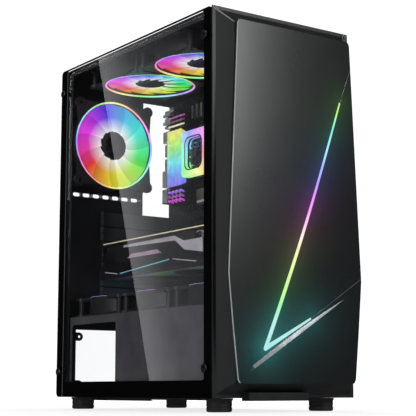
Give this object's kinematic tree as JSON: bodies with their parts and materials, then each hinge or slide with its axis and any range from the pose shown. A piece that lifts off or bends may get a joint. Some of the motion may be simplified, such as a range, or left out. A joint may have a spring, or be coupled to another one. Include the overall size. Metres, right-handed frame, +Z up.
{
  "type": "desktop computer tower",
  "caption": "Upright computer case with a glass side, a faceted front panel with a V-shaped light guide, lit fans, a motherboard, memory and a graphics card inside.",
  "frame": {"origin": "on the floor under the middle of the tower's outer box", "axes": "+Z up, -Y out of the front panel, +Y out of the rear panel, -X out of the glass side"},
  "size_m": [0.202, 0.3797, 0.447],
  "materials": {
    "black_steel": "fine textured black powder coat",
    "foot_rubber": "matt black",
    "tinted_glass": "clear tempered glass with a light grey tint and a black printed border",
    "bare_steel": "turned steel",
    "black_screw": "satin black",
    "bezel_plastic": "fine moulded grain",
    "fascia_plastic": "dark satin gloss",
    "front_light": "lit translucent guide",
    "fan_plastic": "black moulded",
    "fan_blade": "lit translucent blades",
    "dark_rotor": "black moulded",
    "circuit_board": "black solder mask",
    "ram_light": "lit diffuser on a black spreader",
    "cooler_light": "lit diffuser frame",
    "heatsink_metal": "stamped fins",
    "card_plastic": "satin moulded",
    "button_plastic": "polished black",
    "port_plastic": "black moulded",
    "filter_mesh": "fine black mesh in a moulded rim",
    "drive_metal": "cast and ground"
  },
  "bodies": {
    "chassis": {"base_panel": "black_steel", "rear_panel": "black_steel", "motherboard_tray": "black_steel", "top_panel": "black_steel", "front_frame": "black_steel", "psu_shroud": "black_steel", "foot_front_left": "foot_rubber", "foot_front_right": "foot_rubber", "foot_rear_left": "foot_rubber", "foot_rear_right": "foot_rubber", "rear_fan_frame": "fan_plastic", "top_fan_rear_frame": "fan_plastic", "top_fan_front_frame": "fan_plastic", "shroud_fan_rear_frame": "fan_plastic", "shroud_fan_middle_frame": "fan_plastic", "shroud_fan_front_frame": "fan_plastic", "motherboard": "circuit_board", "ram_module_1": "ram_light", "ram_module_2": "ram_light", "ram_module_3": "ram_light", "ram_module_4": "ram_light", "cpu_heatsink": "heatsink_metal", "cpu_cooler_frame": "cooler_light", "card_board": "circuit_board", "card_heatsink": "heatsink_metal", "card_shroud": "card_plastic", "card_backplate": "black_steel", "card_bracket": "bare_steel", "slot_cover_1": "black_steel", "slot_cover_2": "black_steel", "slot_cover_5": "black_steel", "slot_cover_6": "black_steel", "slot_cover_7": "black_steel", "front_ports": "port_plastic", "drive_cage": "black_steel", "hard_drive": "drive_metal"},
    "glass": {"glass_panel": "tinted_glass"},
    "side_panel": {"right_side_panel": "black_steel"},
    "front": {"front_bezel": "bezel_plastic", "front_fascia": "fascia_plastic", "led_light_guide": "front_light"},
    "top_filter": {"top_filter": "filter_mesh"},
    "bottom_filter": {"bottom_filter": "filter_mesh"},
    "power_button": {"power_button": "button_plastic"},
    "reset_button": {"reset_button": "button_plastic"},
    "rear_fan_rotor": {"rear_fan_rotor": "fan_blade"},
    "top_fan_rear_rotor": {"top_fan_rear_rotor": "fan_blade"},
    "top_fan_front_rotor": {"top_fan_front_rotor": "fan_blade"},
    "shroud_fan_rear_rotor": {"shroud_fan_rear_rotor": "fan_blade"},
    "shroud_fan_middle_rotor": {"shroud_fan_middle_rotor": "fan_blade"},
    "shroud_fan_front_rotor": {"shroud_fan_front_rotor": "fan_blade"},
    "cpu_fan_rotor": {"cpu_fan_rotor": "dark_rotor"},
    "card_rotor_front": {"card_rotor_front": "dark_rotor"},
    "card_rotor_rear": {"card_rotor_rear": "dark_rotor"},
    "glass_screw_front_lower": {"glass_screw_front_lower": "bare_steel"},
    "glass_screw_front_upper": {"glass_screw_front_upper": "bare_steel"},
    "glass_screw_rear_lower": {"glass_screw_rear_lower": "bare_steel"},
    "glass_screw_rear_upper": {"glass_screw_rear_upper": "bare_steel"},
    "side_screw_lower": {"side_screw_lower": "black_screw"},
    "side_screw_upper": {"side_screw_upper": "black_screw"}
  },
  "joints": [
    {"name": "glass_slide", "type": "slide", "parent": "chassis", "child": "glass", "axis": [-1, 0, 0], "range_m": [0, 0.15]},
    {"name": "side_panel_slide", "type": "slide", "parent": "chassis", "child": "side_panel", "axis": [0, 1, 0], "range_m": [0, 0.36]},
    {"name": "front_slide", "type": "slide", "parent": "chassis", "child": "front", "axis": [0, -1, 0], "range_m": [0, 0.06]},
    {"name": "top_filter_lift", "type": "slide", "parent": "chassis", "child": "top_filter", "axis": [0, 0, 1], "range_m": [0, 0.1]},
    {"name": "bottom_filter_slide", "type": "slide", "parent": "chassis", "child": "bottom_filter", "axis": [0, 1, 0], "range_m": [0, 0.155]},
    {"name": "power_button_press", "type": "slide", "parent": "chassis", "child": "power_button", "axis": [0, 0, -1], "range_m": [0, 0.0012], "stiffness_N_per_m": 800},
    {"name": "reset_button_press", "type": "slide", "parent": "chassis", "child": "reset_button", "axis": [0, 0, -1], "range_m": [0, 0.001], "stiffness_N_per_m": 600},
    {"name": "rear_fan_spin", "type": "hinge", "parent": "chassis", "child": "rear_fan_rotor", "pos_m": [-0.0295, 0.16945, 0.349], "axis": [0, 1, 0], "continuous": true},
    {"name": "top_fan_rear_spin", "type": "hinge", "parent": "chassis", "child": "top_fan_rear_rotor", "pos_m": [-0.015, 0.09195, 0.4312], "axis": [0, 0, 1], "continuous": true},
    {"name": "top_fan_front_spin", "type": "hinge", "parent": "chassis", "child": "top_fan_front_rotor", "pos_m": [-0.015, -0.02835, 0.4312], "axis": [0, 0, 1], "continuous": true},
    {"name": "shroud_fan_rear_spin", "type": "hinge", "parent": "chassis", "child": "shroud_fan_rear_rotor", "pos_m": [-0.023, 0.11825, 0.1288], "axis": [0, 0, 1], "continuous": true},
    {"name": "shroud_fan_middle_spin", "type": "hinge", "parent": "chassis", "child": "shroud_fan_middle_rotor", "pos_m": [-0.023, 0.00625, 0.1288], "axis": [0, 0, 1], "continuous": true},
    {"name": "shroud_fan_front_spin", "type": "hinge", "parent": "chassis", "child": "shroud_fan_front_rotor", "pos_m": [-0.023, -0.10575, 0.1288], "axis": [0, 0, 1], "continuous": true},
    {"name": "cpu_fan_spin", "type": "hinge", "parent": "chassis", "child": "cpu_fan_rotor", "pos_m": [0.0506, 0.08095, 0.336], "axis": [1, 0, 0], "continuous": true},
    {"name": "card_rotor_front_spin", "type": "hinge", "parent": "chassis", "child": "card_rotor_front", "pos_m": [0.01, -0.00275, 0.1765], "axis": [0, 0, 1], "continuous": true},
    {"name": "card_rotor_rear_spin", "type": "hinge", "parent": "chassis", "child": "card_rotor_rear", "pos_m": [0.01, 0.09925, 0.1765], "axis": [0, 0, 1], "continuous": true},
    {"name": "glass_screw_front_lower_turn", "type": "hinge", "parent": "glass", "child": "glass_screw_front_lower", "pos_m": [-0.0973, -0.15275, 0.0465], "axis": [1, 0, 0], "continuous": true},
    {"name": "glass_screw_front_upper_turn", "type": "hinge", "parent": "glass", "child": "glass_screw_front_upper", "pos_m": [-0.0973, -0.15275, 0.413], "axis": [1, 0, 0], "continuous": true},
    {"name": "glass_screw_rear_lower_turn", "type": "hinge", "parent": "glass", "child": "glass_screw_rear_lower", "pos_m": [-0.0973, 0.17375, 0.0465], "axis": [1, 0, 0], "continuous": true},
    {"name": "glass_screw_rear_upper_turn", "type": "hinge", "parent": "glass", "child": "glass_screw_rear_upper", "pos_m": [-0.0973, 0.17375, 0.413], "axis": [1, 0, 0], "continuous": true},
    {"name": "side_screw_lower_turn", "type": "hinge", "parent": "side_panel", "child": "side_screw_lower", "pos_m": [0.092, 0.18485, 0.0465], "axis": [0, 1, 0], "continuous": true},
    {"name": "side_screw_upper_turn", "type": "hinge", "parent": "side_panel", "child": "side_screw_upper", "pos_m": [0.092, 0.18485, 0.413], "axis": [0, 1, 0], "continuous": true}
  ]
}
